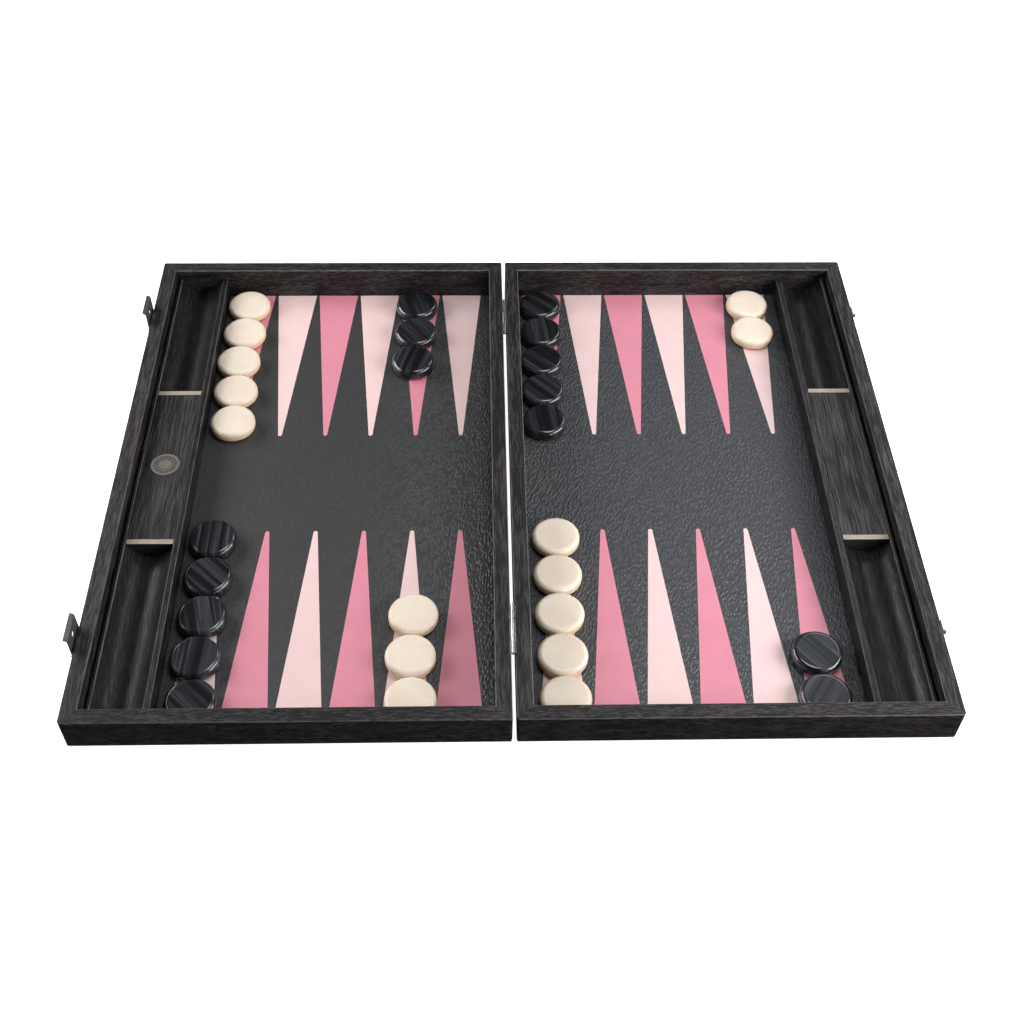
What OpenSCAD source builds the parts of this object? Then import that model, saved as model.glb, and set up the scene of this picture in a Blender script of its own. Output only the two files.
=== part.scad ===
// Backgammon set in a folding case, lying open with its playing field upwards.
// Units are millimetres. +X runs from the left half to the right half, +Y runs away
// from the player, +Z is up. The origin is on the table, under the middle of the
// whole open set. The left half is the fixed one.

/* [Case] */
// Width of one half across the table
half_w = 300; // [280:1:320]
// Length of one half, away from the player
half_l = 480; // [470:1:500]
// Height of one half
half_h = 32; // [30:0.5:38]
// Thickness of every wall
wall_t = 11.4; // [10:0.1:13]
// Space between the two halves when they lie open
seam_gap = 2.88; // [2.6:0.02:3.4]
// Radius of the lower outer edges
foot_r = 6; // [2:0.5:6]
// Radius of the upright corner edges
corner_r = 2.5; // [0.5:0.1:3]
// Flat on the outer edge of the rim
rim_flat = 0.5; // [0.2:0.1:0.8]
// Radius of the inner edge of the rim
rim_r = 1; // [0.5:0.1:1.5]
// Thickness of the wooden base panel
base_t = 2.95; // [2:0.05:4]
// How far the base panel reaches into the walls
rebate_w = 4; // [2:0.5:4]
// Thickness of the leather playing surface
leather_t = 0.8; // [0.6:0.1:1.2]
// How far the strip along the foot of a short wall stands out
lining_t = 0.5; // [0.3:0.1:0.8]
// Height of the top of that strip
lining_h = 15.6; // [10:0.2:18]

/* [Points] */
// Distance from one point to the next
point_pitch = 36.9; // [36.6:0.1:37.2]
// Width of a point at its base
point_w = 34.5; // [30:0.5:35.5]
// Length of a point
point_l = 177; // [150:1:185]
// Radius of the tip of a point
tip_r = 1.6; // [0.5:0.1:3]
// How far the points stand above the leather
point_proud = 0.05; // [0:0.01:0.1]

/* [Checkers] */
// Diameter of a checker
checker_d = 36.2; // [30:0.1:36.2]
// Thickness of a checker
checker_t = 9.6; // [8.4:0.1:11]
// Radius of a checker's edges
checker_r = 3.6; // [0.6:0.1:4]
// Distance from one checker of a row to the next
checker_pitch = 36.4; // [36.4:0.1:36.8]

/* [Side troughs] */
// Width of the channel at its top
channel_w = 36.3; // [34:0.1:37]
// Radius of the channel
channel_r = 19; // [18.6:0.1:20]
// Height of the top of the moulding
trough_h = 22; // [20:0.5:24]
// Thickness of the moulding's lip along the outer wall
outer_lip_t = 2; // [1.2:0.1:2.4]
// Thickness of the moulding's lip along the playing field
inner_lip_t = 4.2; // [3:0.1:5]
// Length of a sliding block
block_l = 163.4; // [120:0.2:190]
// Room under a block
block_play = 0.4; // [0.35:0.05:0.6]
// Room beside a block at its top
block_side_play = 0.85; // [0.6:0.05:1.2]
// Where the middle of a block stands, away from the middle of the case
block_y = 3.5; // [-20:0.25:20]
// Thickness of the bare wooden end of a block
block_end_t = 4.5; // [3:0.5:8]
// Diameter of the round badge in the left block
badge_d = 22.5; // [16:0.5:26]

/* [Hinges and clasps] */
// Length of one hinge
hinge_l = 42.8; // [38:0.1:50]
// Distance of a hinge's middle from the end of the case
hinge_inset = 74.5; // [60:0.5:100]
// Height of a hinge leaf
hinge_leaf_h = 14; // [12:0.5:18]
// Width of a clasp
clasp_w = 23.6; // [20:0.1:26]
// Distance of a clasp's middle from the end of the case
clasp_inset = 70.5; // [60:0.5:90]
// Height of an upright clasp's tip above the rim
clasp_rise = 11; // [9:0.5:13]

/* [Hidden] */
$fn = 64;
half_len = half_l / 2;
seam = seam_gap / 2;                         // hinge wall's outer face
outer_x = seam + half_w;                     // outer wall's outer face
wall_in = outer_x - wall_t;                  // outer wall's inner face
hinge_wall_in = seam + wall_t;               // hinge wall's inner face
field_y = half_len - wall_t;                 // short wall's inner face
lined_y = field_y - lining_t;                // face of the strip at its foot
field_z = base_t + leather_t;                // top of the leather
axis_z = half_h + 0.15;                      // hinge axis of the two halves

// Trough, measured on the left half: all X values are distances from the seam.
moulding_play = 2.2;                         // space to the outer wall
lip_r = 0.5;                                 // radius of the moulding's upper edges
lip_out = wall_in - moulding_play;
channel_out = lip_out - outer_lip_t;
channel_x = channel_out - channel_w / 2;
channel_in = channel_out - channel_w;
field_edge = channel_in - inner_lip_t;       // where the field begins
channel_z = trough_h + sqrt(pow(channel_r, 2) - pow(channel_w / 2, 2));
block_r = channel_r - block_play;
block_w = channel_w - 2 * block_side_play;
block_edge_r = 0.4;                          // radius of a block's upper edges

// Badge.
badge_t = 1;
badge_y = 2.7;
ring_w = 0.8;
ring_proud = 0.15;

// Columns of points: the middle of the first one on each half.
left_first = -222.06;
right_first = 34.98;
points = 6;

// Checkers.
checker_play = 0.2;                          // room under a checker
checker_z = field_z + point_proud + checker_play;
checker_lift = half_h;                       // travel that clears the rim
back_start = half_len - 33.6;                // first checker at the far wall
front_start = -half_len + 30.4;              // first checker at the near wall

// Hinge of the two halves.
hinge_y = half_len - hinge_inset;
leaf_t = 0.8;
knuckle_r = 1.3;
hinge_pin_r = 0.6;
running_fit = 0.05;                          // radial play of a hinge pin
knuckle_play = 0.3;                          // gap between two knuckles
leaf_clear_r = 1.75;                         // leaf cut away at the other knuckle
wall_clear_r = 2;                            // wall cut away along the hinge
leaf_top = axis_z - 0.5;                     // upper edge of a leaf
strap_t = 0.7;                               // strap from a leaf to its knuckle
strap_end = 0.47;                            // it ends inside the knuckle's wall
knuckle_l = (hinge_l - 2 * knuckle_play) / 3;
pin_head_r = 0.95;
pin_head_t = 0.5;

// Screws.
head_r = 1.7;
shank_r = 0.9;
screw_l = 6.5;
slot_w = 0.5;
slot_d = 0.4;
leaf_screw_steps = [-1, 0, 1];               // places along a leaf
leaf_screw_pitch = 14;

// Clasp, on the left half's outer wall.
clasp_y = half_len - clasp_inset;
clasp_plate_t = 1;
clasp_axis_x = -outer_x - 1.9;
clasp_axis_z = half_h - 7.6;
clasp_knuckle_r = 1.3;
clasp_pin_r = 0.65;
clasp_t = 0.8;
clasp_knuckle_l = 11;
clasp_clear = 0.4;                           // room around the flap's knuckle
clasp_plate_low = 10.5;                      // lower edge of the plate
clasp_leaf_x = clasp_axis_x - clasp_t / 2;   // outer face of the upright leaf
clasp_lip_l = 3;
clasp_lip_lean = 60;                         // from upright
clasp_bend_z = half_h + clasp_rise - clasp_lip_l * cos(clasp_lip_lean);
clasp_corner_r = 0.8;
stud_z = half_h - 3;
hole_z = 2 * axis_z - stud_z;                // where a stud lands in its clasp
hole_r = 2.2;
stud_r = 1.7;
stud_neck_r = 1;
stud_x = -clasp_leaf_x - clasp_t / 2;
stud_plate_t = 0.8;
stud_screw_step = 7;                         // from a stud to its plate's screw
stud_plate_r = 2.8;

// Middle of the whole open set, which becomes X = 0.
left_reach = -clasp_leaf_x + clasp_lip_l * sin(clasp_lip_lean);
right_reach = stud_x + stud_r;
shift_x = (left_reach - right_reach) / 2;

// A checker list has one entry per checker: [column X, Y].
// "sway" holds how far each checker of a row stands beside the row's line.
function row(x, y, step, sway) =
    [for (i = [0:len(sway) - 1]) [x + sway[i], y + step * i]];
ivory_places = concat(
    row(-225.4, back_start, -checker_pitch, [0, -0.4, -1.5, 0.1, 1.9]),
    row(-71.4, front_start, checker_pitch, [0.3, -0.7, 0.4]),
    row(217.6, back_start, -checker_pitch, [0.1, 0]),
    row(35.3, front_start, checker_pitch, [0.7, 0.2, -0.4, -0.2, -0.1]));
black_places = concat(
    row(-77.2, back_start, -checker_pitch, [0.3, 0.4, -1.2]),
    row(-223.2, front_start, checker_pitch, [1.7, 0.1, 0.2, -0.2, -1]),
    row(31.9, back_start, -checker_pitch, [0.6, 0.2, -0.2, -0.6, -0.4]),
    row(216.3, front_start, checker_pitch, [-0.1, 0]));

function two_digits(i) = str(i < 9 ? "0" : "", i + 1);
function ivory_name(i) = str("checker_ivory_", two_digits(i));
function black_name(i) = str("checker_black_", two_digits(i));

walnut = [0.17, 0.16, 0.15];
bare_wood = [0.78, 0.66, 0.58];
rose = [0.69, 0.36, 0.43];
pale = [0.94, 0.82, 0.79];
charcoal = [0.2, 0.2, 0.21];
steel = [0.7, 0.7, 0.72];
black_metal = [0.1, 0.1, 0.1];
ivory = [0.93, 0.89, 0.78];
black = [0.12, 0.13, 0.15];

// ---- helpers ----

// Draws on the left half or, mirrored, on the right half.
module on_half(side) {
    translate([shift_x, 0, 0])
        mirror([side > 0 ? 1 : 0, 0, 0])
            children();
}

// A prism along Y from a drawing in X and Z, its middle at Y = 0.
module along_y(length) {
    translate([0, length / 2, 0])
        rotate([90, 0, 0])
            linear_extrude(height = length)
                children();
}

// A round bar along Y.
module bar_y(radius, length) {
    rotate([90, 0, 0])
        cylinder(r = radius, h = length, center = true);
}

// What a radius takes off a corner at the origin; the body is on the -X and -Y side.
module round_off(radius) {
    difference() {
        translate([-radius, -radius])
            square(radius + 1);
        translate([-radius, -radius])
            circle(r = radius);
    }
}

// Section of a wall: X from its inner face outwards, Y upwards.
module wall_section() {
    difference() {
        square([wall_t, half_h]);
        translate([-1, -1])
            square([rebate_w + 1, base_t + 1]);
        translate([0, half_h])
            mirror([1, 0])
                round_off(rim_r);
        translate([wall_t, 0])
            mirror([0, 1])
                round_off(foot_r);
        translate([wall_t, half_h])
            rotate(45)
                square(rim_flat * sqrt(2), center = true);
    }
}

// Everything inside the mitres of one wall; the half is drawn around its middle.
module mitre_space(length, across) {
    reach = wall_t * 1.5;
    translate([0, 0, -1])
        linear_extrude(height = half_h + 2)
            polygon([
                [across / 2, length / 2],
                [across / 2, -length / 2],
                [across / 2 - reach, -length / 2 + reach],
                [across / 2 - reach, length / 2 - reach]]);
}

// A box in plan with round corners.
module round_plan(x, y, r) {
    square([x - 2 * r, y], center = true);
    square([x, y - 2 * r], center = true);
    for (sx = [-1, 1], sy = [-1, 1])
        translate([sx * (x / 2 - r), sy * (y / 2 - r)])
            circle(r = r);
}

// A wall on the +X side of a box of the given size, mitred at both ends.
module wall(length, across) {
    intersection() {
        translate([across / 2 - wall_t, 0, 0])
            along_y(length)
                wall_section();
        mitre_space(length, across);
        translate([0, 0, -1])
            linear_extrude(height = half_h + 2)
                round_plan(across, length, corner_r);
    }
}

// Countersunk screw with its head's top at the origin, pointing down.
module screw_body() {
    translate([0, 0, -leaf_t])
        cylinder(r1 = shank_r, r2 = head_r, h = leaf_t);
    translate([0, 0, -screw_l])
        cylinder(r = shank_r, h = screw_l - leaf_t / 2);
}

module screw() {
    difference() {
        screw_body();
        translate([-head_r, -slot_w / 2, -slot_d])
            cube([2 * head_r, slot_w, slot_d + 1]);
    }
}

// Places of the screws of both hinge leaves, in the left half's wall.
module at_leaf_screws() {
    for (y = [-hinge_y, hinge_y], k = leaf_screw_steps)
        translate([-seam, y + k * leaf_screw_pitch, leaf_top - hinge_leaf_h * 0.6])
            rotate([0, 90, 0])
                children();
}

// Places of the screws of both clasp plates, in the left half's outer wall.
module at_clasp_screws() {
    for (y = [-clasp_y, clasp_y], k = [-1, 1])
        translate([-outer_x - clasp_plate_t, y + k * clasp_w * 0.3, clasp_plate_low + 4])
            rotate([0, -90, 0])
                children();
}

// Places of the screws of both stud plates, on the mirrored right half.
module at_stud_screws() {
    for (y = [-clasp_y, clasp_y])
        translate([-outer_x - stud_plate_t, y + stud_screw_step, stud_z])
            rotate([0, -90, 0])
                children();
}

// ---- case ----

module long_walls(side) {
    color(walnut)
        on_half(side)
            difference() {
                translate([-seam - half_w / 2, 0, 0]) {
                    wall(half_l, half_w);
                    mirror([1, 0, 0])
                        wall(half_l, half_w);
                }
                hinge_recesses();
                at_leaf_screws()
                    screw_body();
                if (side < 0)
                    at_clasp_screws()
                        screw_body();
                else
                    at_stud_screws()
                        screw_body();
            }
}

// Room in a hinge wall for the leaves and the knuckles.
module hinge_recesses() {
    for (y = [-hinge_y, hinge_y])
        translate([0, y, 0]) {
            translate([-seam - leaf_t, -hinge_l / 2, leaf_top - hinge_leaf_h])
                cube([leaf_t + 1, hinge_l, hinge_leaf_h + 1]);
            translate([0, 0, axis_z])
                bar_y(wall_clear_r, hinge_l + 2 * (pin_head_t + knuckle_play));
        }
}

module short_walls(side) {
    color(walnut)
        on_half(side)
            translate([-seam - half_w / 2, 0, 0])
                for (turn = [90, -90]) {
                    rotate(turn)
                        wall(half_w, half_l);
                    lining(turn > 0 ? 1 : -1);
                }
}

// Thin strip along the foot of a short wall, from the trough to the hinge wall.
module lining(end) {
    low = -field_edge + seam + half_w / 2;
    high = half_w / 2 - wall_t;
    translate([low, end > 0 ? lined_y : -field_y, base_t])
        cube([high - low, lining_t, lining_h - base_t]);
}

module base(side) {
    color(bare_wood)
        on_half(side)
            translate([-wall_in - rebate_w, -field_y - rebate_w, 0])
                cube([half_w - 2 * (wall_t - rebate_w), 2 * (field_y + rebate_w), base_t]);
}

module trough(side) {
    color(walnut)
        on_half(side)
            along_y(2 * field_y - 0.2)
                difference() {
                    translate([-lip_out, base_t])
                        square([lip_out - field_edge, trough_h - base_t]);
                    translate([-channel_x, channel_z])
                        circle(r = channel_r);
                    translate([-lip_out, trough_h])
                        mirror([1, 0])
                            round_off(lip_r);
                    translate([-field_edge, trough_h])
                        round_off(lip_r);
                    for (way = [-1, 1])
                        channel_round_off(way);
                }
}

// What a radius takes off the moulding where its top meets the channel.
// "way" is -1 for the outer lip and 1 for the inner one.
module channel_round_off(way) {
    rise = channel_z - trough_h + lip_r;
    run = sqrt(pow(channel_r + lip_r, 2) - pow(rise, 2));
    side = 2 * lip_r;
    part = side / (channel_r + lip_r);
    translate([-channel_x + way * run, trough_h - lip_r])
        difference() {
            polygon([[0, 0], [0, side], [-way * side, side], [-way * run * part, rise * part]]);
            circle(r = lip_r);
        }
}

// ---- playing field ----

// One point with its base on the X axis, pointing along +Y.
module point_outline() {
    b = point_w / 2;
    c = point_l - tip_r;
    d = sqrt(b * b + c * c);
    lean = atan2(c, -b) - asin(tip_r / d);
    tx = tip_r * sin(lean);
    ty = c - tip_r * cos(lean);
    polygon([[-b, 0], [b, 0], [tx, ty], [-tx, ty]]);
    translate([0, c])
        circle(r = tip_r);
}

// Points of one colour. The far row starts with a rose point on the left,
// the near row with a pale one. "odd" picks every second point.
module point_row(first, far, odd) {
    for (i = [odd:2:points - 1])
        translate([first + i * point_pitch, far ? lined_y : -lined_y, 0])
            mirror([0, far ? 1 : 0, 0])
                point_outline();
}

module points_flat(side, rose_ones) {
    first = side > 0 ? right_first : left_first;
    far_start = rose_ones ? 0 : 1;
    point_row(first, true, far_start);
    point_row(first, false, 1 - far_start);
}

module inlay(side, rose_ones) {
    color(rose_ones ? rose : pale)
        translate([shift_x, 0, base_t])
            linear_extrude(height = leather_t + point_proud)
                points_flat(side, rose_ones);
}

module leather(side) {
    low = side > 0 ? hinge_wall_in : -field_edge;
    color(charcoal)
        translate([shift_x, 0, base_t])
            linear_extrude(height = leather_t)
                difference() {
                    translate([low, -lined_y])
                        square([field_edge - hinge_wall_in, 2 * lined_y]);
                    points_flat(side, true);
                    points_flat(side, false);
                }
}

// ---- sliding blocks ----

module block_shape(length) {
    translate([-channel_x, 0, 0])
        along_y(length)
            difference() {
                intersection() {
                    translate([0, channel_z])
                        circle(r = block_r);
                    translate([-block_w / 2, 0])
                        square([block_w, trough_h]);
                }
                for (way = [0, 1])
                    mirror([way, 0])
                        translate([block_w / 2, trough_h])
                            round_off(block_edge_r);
            }
}

module block(side) {
    color(walnut)
        on_half(side)
            difference() {
                translate([0, block_y, 0])
                    block_shape(block_l - 2 * block_end_t);
                if (side < 0)
                    badge_disc(0, 1);
            }
}

module block_ends(side) {
    color(bare_wood)
        on_half(side)
            for (end = [-1, 1])
                translate([0, block_y + end * (block_l - block_end_t) / 2, 0])
                    block_shape(block_end_t);
}

module badge_disc(inset, above) {
    translate([-channel_x, badge_y, trough_h - badge_t])
        cylinder(d = badge_d - 2 * inset, h = badge_t + above);
}

// Plain disc with two raised rings.
module badge() {
    color(bare_wood)
        on_half(-1) {
            badge_disc(0, 0);
            for (r = [badge_d * 0.46, badge_d * 0.28])
                translate([-channel_x, badge_y, trough_h - ring_proud])
                    difference() {
                        cylinder(r = r, h = 2 * ring_proud);
                        translate([0, 0, -1])
                            cylinder(r = r - ring_w, h = 2);
                    }
        }
}

// ---- hinges of the case ----

// One knuckle of a leaf with the strap that joins it to the leaf.
module knuckle(y, length, bore) {
    translate([0, y, axis_z])
        difference() {
            union() {
                bar_y(knuckle_r, length);
                translate([-seam - leaf_t, -length / 2, leaf_top - strap_t - axis_z])
                    cube([seam + leaf_t - strap_end, length, strap_t]);
            }
            bar_y(bore, length + 1);
        }
}

// A leaf with knuckles at the listed places: -1, 0 and 1 are near, middle and far.
module hinge_leaf(places, others, bore) {
    step = knuckle_l + knuckle_play;
    difference() {
        union() {
            translate([-seam - leaf_t, -hinge_l / 2, leaf_top - hinge_leaf_h])
                cube([leaf_t, hinge_l, hinge_leaf_h]);
            for (k = places)
                knuckle(k * step, knuckle_l, bore);
        }
        for (k = others)
            translate([0, k * step, axis_z])
                bar_y(leaf_clear_r, knuckle_l + 1.8 * knuckle_play);
    }
}

module hinge_leaves(side) {
    color(steel)
        on_half(side)
            difference() {
                for (y = [-hinge_y, hinge_y])
                    translate([0, y, 0])
                        hinge_leaf(
                            side < 0 ? [-1, 1] : [0],
                            side < 0 ? [0] : [-1, 1],
                            side < 0 ? hinge_pin_r : hinge_pin_r + running_fit);
                at_leaf_screws()
                    screw_body();
            }
}

module hinge_pins() {
    color(steel)
        translate([shift_x, 0, axis_z])
            for (y = [-hinge_y, hinge_y])
                translate([0, y, 0]) {
                    bar_y(hinge_pin_r, hinge_l);
                    for (end = [-1, 1])
                        translate([0, end * (hinge_l + pin_head_t) / 2, 0])
                            bar_y(pin_head_r, pin_head_t);
                }
}

module left_screws() {
    color(steel)
        on_half(-1) {
            at_leaf_screws()
                screw();
            at_clasp_screws()
                screw();
        }
}

module right_screws() {
    color(steel)
        on_half(1) {
            at_leaf_screws()
                screw();
            at_stud_screws()
                screw();
        }
}

// ---- clasps ----

clasp_end_l = (clasp_w - clasp_knuckle_l) / 2 - knuckle_play;

module clasp_plates() {
    top = clasp_axis_z + 1.2;
    color(black_metal)
        on_half(-1)
            difference() {
                for (y = [-clasp_y, clasp_y])
                    translate([0, y, 0]) {
                        translate([-outer_x - clasp_plate_t, -clasp_w / 2, clasp_plate_low])
                            cube([clasp_plate_t, clasp_w, top - clasp_plate_low]);
                        for (end = [-1, 1])
                            translate([clasp_axis_x, end * (clasp_w - clasp_end_l) / 2, clasp_axis_z])
                                bar_y(clasp_knuckle_r, clasp_end_l);
                    }
                for (y = [-clasp_y, clasp_y]) {
                    translate([clasp_axis_x, y, clasp_axis_z])
                        bar_y(clasp_pin_r, clasp_w + 1);
                    translate([
                        -outer_x - clasp_plate_t - 1,
                        y - clasp_knuckle_l / 2 - knuckle_play,
                        clasp_axis_z - clasp_knuckle_r - clasp_clear])
                        cube([clasp_plate_t + 2, clasp_knuckle_l + 2 * knuckle_play, top]);
                }
                at_clasp_screws()
                    screw_body();
            }
}

module clasp_pins() {
    color(black_metal)
        on_half(-1)
            for (y = [-clasp_y, clasp_y])
                translate([clasp_axis_x, y, clasp_axis_z])
                    bar_y(clasp_pin_r, clasp_w + 0.6);
}

// Outline of a clasp's upright leaf: X is along the wall, Y is height.
module flap_outline() {
    root = clasp_knuckle_l / 2;
    shoulder = clasp_axis_z + clasp_knuckle_r + 2 * clasp_clear;
    w = clasp_w / 2;
    difference() {
        polygon([
            [-root, clasp_axis_z], [root, clasp_axis_z], [root, shoulder],
            [w, shoulder], [w, clasp_bend_z],
            [-w, clasp_bend_z], [-w, shoulder],
            [-root, shoulder]]);
        translate([0, hole_z])
            circle(r = hole_r);
    }
}

// Outline of the bent lip, from its bend upwards.
module lip_outline() {
    w = clasp_w / 2;
    r = clasp_corner_r;
    translate([-w, 0])
        square([2 * w, clasp_lip_l - r]);
    translate([-w + r, 0])
        square([2 * (w - r), clasp_lip_l]);
    for (end = [-1, 1])
        translate([end * (w - r), clasp_lip_l - r])
            circle(r = r);
}

// A drawing in Y (along the wall) and Z, made a plate on the wall side of X = 0.
module upright_plate() {
    rotate([90, 0, 90])
        linear_extrude(height = clasp_t)
            children();
}

module clasp_flap(y) {
    color(black_metal)
        on_half(-1)
            translate([0, y, 0])
                difference() {
                    union() {
                        translate([clasp_leaf_x, 0, 0])
                            upright_plate()
                                flap_outline();
                        translate([clasp_leaf_x, 0, clasp_bend_z])
                            rotate([0, -clasp_lip_lean, 0])
                                upright_plate()
                                    lip_outline();
                        translate([clasp_leaf_x, 0, clasp_bend_z])
                            intersection() {
                                bar_y(clasp_t, clasp_w);
                                translate([0, -clasp_w / 2, 0])
                                    cube([clasp_t, clasp_w, clasp_t]);
                            }
                        translate([clasp_axis_x, 0, clasp_axis_z])
                            bar_y(clasp_knuckle_r, clasp_knuckle_l);
                    }
                    translate([clasp_axis_x, 0, clasp_axis_z])
                        bar_y(clasp_pin_r + running_fit, clasp_w);
                }
}

module studs() {
    color(black_metal)
        on_half(1)
            difference() {
                for (y = [-clasp_y, clasp_y])
                    translate([-outer_x, y, stud_z])
                        rotate([0, -90, 0]) {
                            linear_extrude(height = stud_plate_t)
                                stud_plate_outline();
                            cylinder(r = stud_neck_r, h = stud_x - outer_x);
                            translate([0, 0, stud_x - outer_x])
                                sphere(r = stud_r);
                        }
                at_stud_screws()
                    screw_body();
            }
}

module stud_plate_outline() {
    for (y = [0, stud_screw_step])
        translate([0, y])
            circle(r = stud_plate_r);
    translate([-stud_plate_r, 0])
        square([2 * stud_plate_r, stud_screw_step]);
}

// ---- checkers ----

module checker(place, tone) {
    color(tone)
        translate([place[0] + shift_x, place[1], checker_z])
            rotate_extrude()
                checker_section();
}

module checker_section() {
    r = checker_d / 2;
    square([r - checker_r, checker_t]);
    translate([0, checker_r])
        square([r, checker_t - 2 * checker_r]);
    for (z = [checker_r, checker_t - checker_r])
        translate([r - checker_r, z])
            circle(r = checker_r);
}

// ---- what is drawn ----

for (side = [-1, 1]) {
    name = side < 0 ? "left" : "right";
    long_walls(side);
    short_walls(side);
    base(side);
    leather(side);
    inlay(side, true);
    inlay(side, false);
    trough(side);
    block(side);
    block_ends(side);
    hinge_leaves(side);
}
badge();
hinge_pins();
left_screws();
right_screws();
clasp_plates();
clasp_pins();
clasp_flap(-clasp_y);  // clasp_flap_near
clasp_flap(clasp_y);  // clasp_flap_far
studs();
for (i = [0:len(ivory_places) - 1])
    checker(ivory_places[i], ivory);
for (i = [0:len(black_places) - 1])
    checker(black_places[i], black);
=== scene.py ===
"""Looks of the folding backgammon set: materials, small trim, floor, light and camera."""
import math
import random

import bpy
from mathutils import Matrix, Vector


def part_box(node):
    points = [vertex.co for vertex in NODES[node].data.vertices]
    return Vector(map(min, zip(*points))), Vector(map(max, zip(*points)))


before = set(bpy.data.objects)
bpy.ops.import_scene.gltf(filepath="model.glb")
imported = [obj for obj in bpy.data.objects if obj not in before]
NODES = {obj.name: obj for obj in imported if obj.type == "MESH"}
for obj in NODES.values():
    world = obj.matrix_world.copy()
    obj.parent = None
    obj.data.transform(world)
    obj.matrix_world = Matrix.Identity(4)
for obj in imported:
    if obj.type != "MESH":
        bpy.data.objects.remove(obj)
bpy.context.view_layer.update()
SIDES = ("left", "right")


# ---------- shader helpers ----------

class Tree:
    """One material's node tree, with short ways to add and join nodes."""

    def __init__(self, name):
        self.mat = bpy.data.materials.new(name)
        self.mat.use_nodes = True
        self.nodes = self.mat.node_tree.nodes
        self.links = self.mat.node_tree.links
        self.shader = self.nodes["Principled BSDF"]

    def set(self, **values):
        for key, value in values.items():
            self.shader.inputs[key.replace("_", " ")].default_value = value

    def feed(self, socket, source):
        if isinstance(source, bpy.types.NodeSocket):
            self.links.new(source, socket)
        else:
            socket.default_value = source

    def add(self, kind, out=0, props=None, **inputs):
        node = self.nodes.new(kind)
        for key, value in (props or {}).items():
            setattr(node, key, value)
        for key, value in inputs.items():
            self.feed(node.inputs[key.replace("_", " ")], value)
        return node.outputs[out]

    def place(self, output="Object"):
        return self.add("ShaderNodeTexCoord", output)

    def mapped(self, vector, scale=(1, 1, 1), turn=(0, 0, 0), shift=(0, 0, 0)):
        return self.add("ShaderNodeMapping", Vector=vector, Scale=scale, Rotation=turn,
                        Location=shift)

    def noise(self, vector, scale, detail=3.0, rough=0.5, out=0, distort=0.0):
        return self.add("ShaderNodeTexNoise", out, Vector=vector, Scale=scale, Detail=detail,
                        Roughness=rough, Distortion=distort)

    def cells(self, vector, scale, feature="F1"):
        return self.add("ShaderNodeTexVoronoi", 0, {"feature": feature}, Vector=vector,
                        Scale=scale)

    def maths(self, kind, a, b=0.0, clamp=False):
        node = self.nodes.new("ShaderNodeMath")
        node.operation = kind
        node.use_clamp = clamp
        self.feed(node.inputs[0], a)
        self.feed(node.inputs[1], b)
        return node.outputs[0]

    def vector_maths(self, kind, a, b):
        node = self.nodes.new("ShaderNodeVectorMath")
        node.operation = kind
        self.feed(node.inputs[0], a)
        self.feed(node.inputs[1], b)
        return node.outputs["Vector"]

    def ranged(self, value, low, high, to_low=0.0, to_high=1.0):
        """Eases a value's range low..high into to_low..to_high, held at both ends."""
        node = self.nodes.new("ShaderNodeMapRange")
        node.interpolation_type = "SMOOTHSTEP"
        for key, v in (("Value", value), ("From Min", low), ("From Max", high),
                       ("To Min", to_low), ("To Max", to_high)):
            self.feed(node.inputs[key], v)
        return node.outputs["Result"]

    def ramp(self, value, stops):
        node = self.nodes.new("ShaderNodeValToRGB")
        bar = node.color_ramp
        while len(bar.elements) < len(stops):
            bar.elements.new(0.5)
        for element, (at, colour) in zip(bar.elements, stops):
            element.position = at
            element.color = (*colour, 1)
        self.feed(node.inputs["Fac"], value)
        return node.outputs["Color"]

    def mix(self, share, a, b, kind="MIX"):
        node = self.nodes.new("ShaderNodeMix")
        node.data_type = "RGBA"
        node.blend_type = kind
        self.feed(node.inputs["Factor"], share)
        for socket, colour in ((node.inputs[6], a), (node.inputs[7], b)):
            self.feed(socket, (*colour, 1) if isinstance(colour, tuple) else colour)
        return node.outputs[2]

    def drift(self, vector, scale, detail, reach):
        """Soft random offset of up to half of reach to either side."""
        offset = self.noise(vector, scale, detail, 0.5, out=1)
        offset = self.vector_maths("SUBTRACT", offset, (0.5, 0.5, 0.5))
        return self.vector_maths("MULTIPLY", offset, reach)

    def parts(self, vector):
        node = self.nodes.new("ShaderNodeSeparateXYZ")
        self.feed(node.inputs[0], vector)
        return node.outputs

    def bump(self, height, depth, strength=1.0):
        node = self.nodes.new("ShaderNodeBump")
        node.inputs["Strength"].default_value = strength
        node.inputs["Distance"].default_value = depth
        self.feed(node.inputs["Height"], height)
        return node.outputs[0]

    def finish(self, colour=None, rough=None, normal=None, metal=None):
        for key, value in (("Base Color", colour), ("Roughness", rough), ("Normal", normal),
                           ("Metallic", metal)):
            if value is not None:
                self.feed(self.shader.inputs[key], value)
        return self.mat


# ---------- materials ----------

DARK = (0.007, 0.0066, 0.0068)      # veneer between its streaks
LIGHT = (0.050, 0.0465, 0.047)      # the veneer's streaks
EDGE_HIGHLIGHT = (0.13, 0.12, 0.118)          # painted highlight along the veneer's upper edges
ARRIS_FROM, ARRIS_FULL = 0.0013, 0.0008     # below the top: the painted edge highlight starts, is full, m
WRINKLE_SCALE = 590                 # leather cells per metre across the wrinkles
WRINKLE_STRETCH = 0.42              # width of a wrinkle over its length
WRINKLE_SLANT = math.radians(19)    # lean of the wrinkles from the Y axis
WRINKLE_SWAY = 0.022                # how far the wrinkles wander, m
BADGE_TICKS = 28
CHECKERS = 15                       # of each colour


def along_scale(axis, squeeze):
    """Texture scale that stretches a pattern along one axis."""
    return tuple(squeeze if i == axis else 1.0 for i in range(3))


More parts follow.
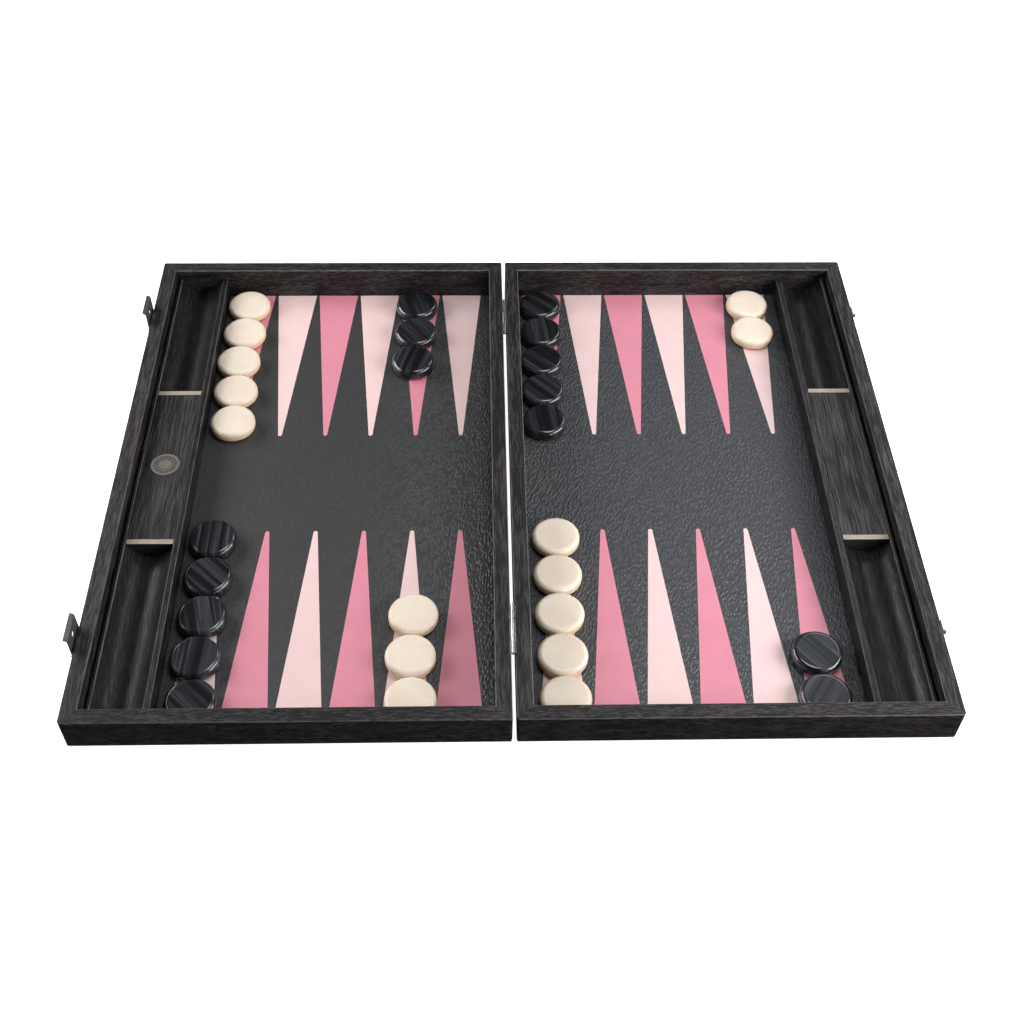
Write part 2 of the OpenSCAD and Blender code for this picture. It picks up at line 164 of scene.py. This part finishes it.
def veneer(name, axis, dark, light, top, figure=0.002, shift=0.0, rough=(0.38, 0.55),
           gloss=0.3, run=0.06):
    """Dark open-grained veneer, its grain along one axis (0, 1 or 2), its upper edges lightened
    as a painted highlight.

    top is the height of the piece's upper face; figure is how far its streaks wander; run is
    the width of a streak over its length.
    """
    t = Tree(name)
    place = t.place()
    p = t.mapped(place, shift=(shift, shift * 1.7, shift * 0.6))
    wander = t.drift(t.mapped(p, scale=along_scale(axis, 0.35)), 28, 2, (figure,) * 3)
    grain = t.mapped(t.vector_maths("ADD", p, wander), scale=along_scale(axis, run))
    broad = t.noise(grain, 240, 3, 0.5)
    fine = t.noise(grain, 1000, 2, 0.6)
    pores = t.noise(grain, 1500, 1, 0.5)
    cloud = t.noise(p, 22, 2, 0.5)
    mixed = t.maths("ADD", t.maths("MULTIPLY", broad, 0.35), t.maths("MULTIPLY", fine, 0.65))
    colour = t.mix(t.ranged(mixed, 0.44, 0.60), dark, light)
    tint = t.mix(t.ranged(cloud, 0.35, 0.7), (1.12, 1.0, 0.97), (0.86, 0.89, 0.93))
    colour = t.mix(1.0, colour, tint, "MULTIPLY")
    pit = t.ranged(pores, 0.38, 0.47)
    colour = t.mix(t.maths("MULTIPLY", t.maths("SUBTRACT", 1.0, pit), 0.7), colour,
                   tuple(0.3 * c for c in dark))
    # Painted highlight: faces just below the top that do not look straight up are lightened,
    # broken up by the grain.
    near_top = t.ranged(t.parts(place)[2], top - ARRIS_FROM, top - ARRIS_FULL)
    turned_away = t.ranged(t.parts(t.place("Normal"))[2], 0.985, 0.9)
    wear_and_highlight = t.maths("MULTIPLY", t.maths("MULTIPLY", near_top, turned_away),
                   t.ranged(fine, 0.3, 0.6, 0.35, 0.9))
    colour = t.mix(wear_and_highlight, colour, EDGE_HIGHLIGHT)
    height = t.maths("ADD", t.maths("MULTIPLY", pit, 0.6), t.maths("MULTIPLY", fine, 0.4))
    t.set(Specular_IOR_Level=gloss)
    return t.finish(colour, t.ranged(mixed, 0.3, 0.7, rough[1], rough[0]),
                    t.bump(height, 0.00015, 0.8))


def leather(name):
    """Charcoal leather with slanting wrinkles, deeper in the right half, where the hide is also
    painted lighter and bluer as a painted reflection.
    """
    t = Tree(name)
    p = t.place()
    sway = t.drift(p, 10, 1, (WRINKLE_SWAY, WRINKLE_SWAY, 0.0))
    turned = t.mapped(t.vector_maths("ADD", p, sway), turn=(0, 0, WRINKLE_SLANT))
    pebble = t.cells(t.mapped(turned, scale=along_scale(1, WRINKLE_STRETCH)), WRINKLE_SCALE)
    across = t.parts(p)[0]
    # Wrinkles deepen towards the right half, and the tone below follows them, so that half's
    # colour also gets lighter.
    depth = t.ranged(across, -0.13, 0.0, 0.22, 1.0)
    height = t.maths("MULTIPLY", t.ranged(pebble, 0.2, 0.7, 1.0, 0.0), depth)
    patch = t.noise(p, 14, 2, 0.5)
    tint = t.mix(t.ranged(patch, 0.35, 0.65), (0.048, 0.047, 0.048), (0.045, 0.046, 0.049))
    # Painted reflection: the right half's tint is lighter and bluer.
    tint = t.mix(t.ranged(across, -0.05, 0.15), tint, (0.051, 0.053, 0.060))
    tone = t.mix(height, (0.78,) * 3, (1.32,) * 3)
    t.set(Specular_IOR_Level=0.5)
    return t.finish(t.mix(1.0, tint, tone, "MULTIPLY"), t.ranged(height, 0.0, 1.0, 0.46, 0.36),
                    t.bump(height, 0.0005, 1.0))


def inlay(name, colour, shade):
    """Smooth satin leather of the points."""
    t = Tree(name)
    p = t.place()
    soft = t.noise(p, 60, 3, 0.5)
    grain = t.cells(p, 1500, "SMOOTH_F1")
    mottled = t.mix(t.ranged(soft, 0.3, 0.7), colour, shade)
    t.set(Specular_IOR_Level=0.4)
    return t.finish(mottled, t.ranged(soft, 0.3, 0.7, 0.42, 0.52), t.bump(grain, 0.00006, 0.5))


def raw_wood(name):
    """Bare light wood on the top, stained black on the end faces."""
    t = Tree(name)
    p = t.place()
    fine = t.noise(t.mapped(p, scale=(0.08, 1, 1)), 1600, 3, 0.6)
    broad = t.noise(t.mapped(p, scale=(0.12, 1, 1)), 300, 3, 0.5)
    wood = t.mix(t.ranged(fine, 0.35, 0.65), (0.29, 0.235, 0.185), (0.40, 0.34, 0.27))
    wood = t.mix(t.ranged(broad, 0.4, 0.7), wood, (0.25, 0.21, 0.165))
    face = t.parts(t.place("Normal"))
    end = t.ranged(t.maths("ABSOLUTE", face[1]), 0.6, 0.8)
    colour = t.mix(end, wood, (0.012, 0.012, 0.013))
    return t.finish(colour, t.ranged(fine, 0.3, 0.7, 0.55, 0.7), t.bump(fine, 0.00008, 0.6))


def ivory(name):
    """Cast cream resin, a little translucent, with a painted amber glow on its sides and
    underside that stands in for light shining through.
    """
    t = Tree(name)
    p = t.place()
    cloud = t.noise(p, 45, 3, 0.5, distort=0.6)
    vein = t.noise(t.mapped(p, scale=(1.0, 0.3, 1.0), turn=(0, 0, 0.5)), 260, 2, 0.5)
    top = t.mix(t.ranged(cloud, 0.3, 0.7), (0.745, 0.63, 0.52), (0.78, 0.695, 0.59))
    top = t.mix(t.ranged(vein, 0.5, 0.8, 0.0, 0.25), top, (0.70, 0.57, 0.43))
    up = t.parts(t.place("Normal"))[2]
    # Painted glow: faces that turn from up towards down go amber, as if lit through the resin.
    colour = t.mix(t.ranged(up, -0.5, 0.4), (0.80, 0.55, 0.28), top)
    t.set(Subsurface_Weight=0.55, Subsurface_Scale=0.006, Subsurface_Radius=(1.0, 0.6, 0.3),
          Coat_Weight=0.2, Coat_Roughness=0.15, IOR=1.5)
    return t.finish(colour, t.ranged(cloud, 0.3, 0.7, 0.3, 0.4), t.bump(cloud, 0.0002, 0.15))


def onyx(name, turn, shift):
    """Black resin with straight bluish bands and thin lines in one direction."""
    t = Tree(name)
    p = t.mapped(t.place(), turn=(0, 0, turn), shift=(shift, shift, 0))
    across = t.mapped(p, scale=(1.0, 0.02, 0.02))
    bands = t.noise(across, 170, 1, 0.5)
    lines = t.noise(across, 700, 2, 0.6)
    colour = t.ramp(bands, [(0.40, (0.002, 0.0022, 0.003)), (0.50, (0.006, 0.0065, 0.009)),
                            (0.55, (0.011, 0.012, 0.016)), (0.68, (0.020, 0.022, 0.029))])
    hair = t.maths("MULTIPLY", t.ranged(lines, 0.57, 0.64), t.ranged(bands, 0.4, 0.55))
    colour = t.mix(t.maths("MULTIPLY", hair, 0.7), colour, (0.06, 0.066, 0.08))
    t.set(Coat_Weight=0.8, Coat_Roughness=0.04, IOR=1.46)
    return t.finish(colour, t.ranged(bands, 0.4, 0.65, 0.28, 0.4), t.bump(lines, 0.00004, 0.3))


def metal(name, colour, rough, wear, axis=1, paint=None):
    """Steel with drawn lines; with paint, black enamel worn thin on high spots."""
    t = Tree(name)
    p = t.place()
    lines = t.noise(t.mapped(p, scale=along_scale(axis, 0.05)), 2500, 3, 0.6)
    spots = t.noise(p, 350, 4, 0.6)
    tone = t.mix(t.ranged(spots, 0.35, 0.75), colour, wear)
    shine = 1.0
    if paint is not None:
        wear_and_highlight = t.ranged(spots, 0.62, 0.74)
        tone = t.mix(wear_and_highlight, paint, tone)
        shine = t.ranged(wear_and_highlight, 0.0, 1.0, 0.35, 1.0)
    roughness = t.ranged(lines, 0.3, 0.7, rough * 0.8, rough * 1.25)
    return t.finish(tone, roughness, t.bump(lines, 0.00003, 0.5), shine)


def badge_metal(name, centre, radius):
    """Pewter disc with a band of dark radial ticks and a dark groove."""
    t = Tree(name)
    p = t.vector_maths("SUBTRACT", t.place(), centre)
    xyz = t.parts(p)
    r = t.maths("SQRT", t.maths("ADD", t.maths("POWER", t.maths("ABSOLUTE", xyz[0]), 2.0),
                                t.maths("POWER", t.maths("ABSOLUTE", xyz[1]), 2.0)))
    r = t.maths("DIVIDE", r, radius)
    grime = t.noise(t.place(), 900, 3, 0.6)
    turns = t.maths("MULTIPLY", t.maths("ARCTAN2", xyz[1], xyz[0]), BADGE_TICKS / math.tau)
    tick = t.ranged(t.maths("PINGPONG", turns, 0.5), 0.2, 0.26)
    band = t.maths("MULTIPLY", t.ranged(r, 0.60, 0.62), t.ranged(r, 0.80, 0.82, 1.0, 0.0))
    groove = t.maths("MULTIPLY", t.ranged(r, 0.47, 0.49), t.ranged(r, 0.53, 0.55, 1.0, 0.0))
    dark = t.maths("ADD", t.maths("MULTIPLY", tick, band), groove, clamp=True)
    bright = t.mix(t.ranged(grime, 0.4, 0.7), (0.34, 0.31, 0.28), (0.22, 0.20, 0.18))
    colour = t.mix(t.maths("MULTIPLY", dark, 0.9), bright, (0.035, 0.032, 0.03))
    t.set(Metallic=0.85)
    return t.finish(colour, t.ranged(grime, 0.3, 0.7, 0.32, 0.5), t.bump(grime, 0.00006, 0.5))


def floor_paint(name):
    """White studio paper, bright enough to stay white under the object."""
    t = Tree(name)
    fibre = t.noise(t.place(), 60, 3, 0.5)
    colour = t.mix(fibre, (0.93, 0.93, 0.93), (0.96, 0.96, 0.96))
    t.set(Specular_IOR_Level=0.1, Emission_Color=(1, 1, 1, 1), Emission_Strength=1.0)
    return t.finish(colour, t.ranged(fibre, 0.3, 0.7, 0.85, 0.95))


def dress(node, material):
    """Gives a CAD node its material."""
    slots = NODES[node].data.materials
    slots.clear()
    slots.append(material)


def top_of(node):
    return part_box(node)[1][2]


def dress_case():
    rim = top_of("left_long_walls")
    moulding = top_of("left_trough")
    long_wall = veneer("veneer_long", 1, DARK, LIGHT, rim, figure=0.004)
    short_wall = veneer("veneer_short", 0, DARK, LIGHT, rim, figure=0.014, shift=0.31, run=0.16)
    panel = veneer("panel_wood", 1, DARK, LIGHT, rim, figure=0.006, shift=0.9)
    # Painted shade: the moulding's veneer is darker than the walls', to keep its deep channel
    # dark; its lips get the same dark.
    channel = veneer("trough_wood", 1, (0.004, 0.0038, 0.004), (0.024, 0.0225, 0.0235), moulding,
                     figure=0.002, shift=0.57, rough=(0.30, 0.44), gloss=0.32)
    lid = veneer("block_veneer", 1, (0.0025, 0.0025, 0.0025), (0.047, 0.044, 0.044), moulding,
                 figure=0.003, shift=1.3, run=0.03)
    ends = raw_wood("raw_wood")
    hide = leather("field_leather")
    rose = inlay("rose_inlay", (0.665, 0.247, 0.32), (0.635, 0.232, 0.30))
    pale = inlay("pale_inlay", (0.78, 0.57, 0.56), (0.75, 0.545, 0.535))
    for side in SIDES:
        dress(side + "_long_walls", long_wall)
        dress(side + "_short_walls", short_wall)
        dress(side + "_base", panel)
        dress(side + "_trough", channel)
        dress(side + "_leather", hide)
        dress(side + "_rose_points", rose)
        dress(side + "_pale_points", pale)
        dress(side + "_block", lid)
        dress(side + "_block_ends", ends)


def dress_metal():
    steel = metal("hinge_steel", (0.62, 0.62, 0.63), 0.28, (0.45, 0.45, 0.46))
    black = metal("clasp_black", (0.25, 0.25, 0.26), 0.38, (0.2, 0.2, 0.2), 2,
                  paint=(0.085, 0.085, 0.09))
    for node in ("left_hinge_leaves", "right_hinge_leaves", "hinge_pins", "left_screws",
                 "right_screws"):
        dress(node, steel)
    for node in ("clasp_plates", "clasp_pins", "clasp_flap_near", "clasp_flap_far", "studs"):
        dress(node, black)
    low, high = (Vector(v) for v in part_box("badge"))
    dress("badge", badge_metal("badge_metal", tuple((low + high) / 2), (high.x - low.x) / 2))


def dress_checkers():
    chance = random.Random(7)
    cream = ivory("checker_ivory")
    for i in range(1, CHECKERS + 1):
        dress(f"checker_ivory_{i:02d}", cream)
        turn = chance.uniform(-0.9, 0.9)
        dress(f"checker_black_{i:02d}", onyx(f"checker_black_{i:02d}", turn, i * 0.37))


# ---------- floor, light, camera ----------

FLOOR_REACH = 60.0      # m from the middle to a side, so that its edge is out of sight
FLOOR_DROP = 0.0002     # m, so that the floor is just under the object's feet


def add_floor():
    mesh = bpy.data.meshes.new("floor")
    far = FLOOR_REACH
    corners = [(-far, -far, 0), (far, -far, 0), (far, far, 0), (-far, far, 0)]
    mesh.from_pydata(corners, [], [(0, 1, 2, 3)])
    floor = bpy.data.objects.new("floor", mesh)
    bpy.context.scene.collection.objects.link(floor)
    mesh.materials.append(floor_paint("floor_paper"))
    floor.location.z = -FLOOR_DROP
    floor.visible_diffuse = False
    floor.visible_glossy = False


def area_light(name, place, target, size, power, colour=(1, 1, 1)):
    data = bpy.data.lights.new(name, "AREA")
    data.shape = "RECTANGLE"
    data.size, data.size_y = size
    data.energy = power
    data.color = colour
    lamp = bpy.data.objects.new(name, data)
    bpy.context.scene.collection.objects.link(lamp)
    lamp.location = place
    lamp.rotation_euler = (Vector(target) - Vector(place)).to_track_quat("-Z", "Y").to_euler()


def add_world():
    """A dim room: a little light from the sides, half as much from the ceiling.

    The camera sees a white wall behind the floor's far edge.
    """
    world = bpy.data.worlds.new("studio")
    bpy.context.scene.world = world
    world.use_nodes = True
    tree = world.node_tree
    coords = tree.nodes.new("ShaderNodeTexCoord")
    split = tree.nodes.new("ShaderNodeSeparateXYZ")
    tree.links.new(coords.outputs["Generated"], split.inputs[0])
    ramp = tree.nodes.new("ShaderNodeMapRange")
    tree.links.new(split.outputs[2], ramp.inputs["Value"])
    for key, value in (("From Min", 0.35), ("From Max", 0.75), ("To Min", 0.10),
                       ("To Max", 0.05)):
        ramp.inputs[key].default_value = value
    background = tree.nodes["Background"]
    background.inputs["Color"].default_value = (1, 1, 1, 1)
    path = tree.nodes.new("ShaderNodeLightPath")
    strength = tree.nodes.new("ShaderNodeMix")
    strength.inputs["B"].default_value = 1.0
    tree.links.new(path.outputs["Is Camera Ray"], strength.inputs["Factor"])
    tree.links.new(ramp.outputs["Result"], strength.inputs["A"])
    tree.links.new(strength.outputs["Result"], background.inputs["Strength"])


def add_light():
    add_world()
    area_light("key_right", (0.95, -0.3, 0.51), (0.1, 0, 0), (0.9, 0.45), 13.4)
    area_light("fill_left", (-0.98, 0.3, 0.5), (0, 0, 0), (1.0, 0.45), 12.3)
    area_light("overhead", (0.25, 0.05, 1.35), (0, 0, 0), (0.7, 0.5), 6.8)
    area_light("back_right", (0.75, 0.9, 1.0), (0.2, 0, 0), (0.5, 0.5), 3.2, (0.9, 0.95, 1.0))
    area_light("front_right", (0.75, -1.1, 0.28), (0.2, -0.2, 0), (0.35, 0.2), 3.2)


# The photograph's viewpoint.
CAMERA_PLACE = (-0.022629, -0.720120, 0.787750)     # m
CAMERA_TURN = (0.713984, -0.013725, -0.020067)      # radians
CAMERA_LENS = 47.10                                 # mm
CAMERA_SENSOR = 36                                  # mm wide
CAMERA_SHIFT = (0.00172, 0.00780)                   # shares of the frame's width


def add_camera():
    data = bpy.data.cameras.new("camera")
    data.sensor_width = CAMERA_SENSOR
    data.lens = CAMERA_LENS
    data.shift_x, data.shift_y = CAMERA_SHIFT
    data.clip_start, data.clip_end = 0.01, 200
    camera = bpy.data.objects.new("camera", data)
    bpy.context.scene.collection.objects.link(camera)
    camera.location = CAMERA_PLACE
    camera.rotation_euler = CAMERA_TURN
    bpy.context.scene.camera = camera


dress_case()
dress_metal()
dress_checkers()
add_floor()
add_light()
add_camera()
bpy.context.scene.view_settings.view_transform = "Standard"
